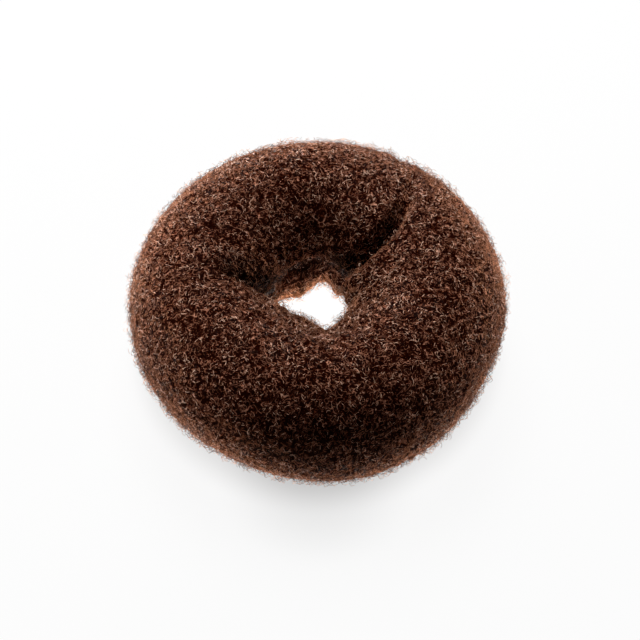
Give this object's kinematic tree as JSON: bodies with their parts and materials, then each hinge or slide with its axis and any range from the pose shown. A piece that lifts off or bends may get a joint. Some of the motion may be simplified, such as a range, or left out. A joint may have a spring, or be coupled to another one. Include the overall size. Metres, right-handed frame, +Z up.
{
  "type": "hair donut bun maker",
  "caption": "Soft ring of rolled crimped mesh with a small hole, worn round a ponytail to shape a bun.",
  "frame": {"origin": "centre of the ring, on the surface that it rests on", "axes": "+Z up along the ring's axis through the hole, +X to the right and +Y away from the viewer"},
  "size_m": [0.09, 0.0904, 0.0351],
  "materials": {
    "brown_mesh": "open mesh of fine crimped nylon strands, slightly glossy, translucent at its rim"
  },
  "bodies": {
    "root": {"rolled_sleeve": "brown_mesh"}
  },
  "joints": []
}
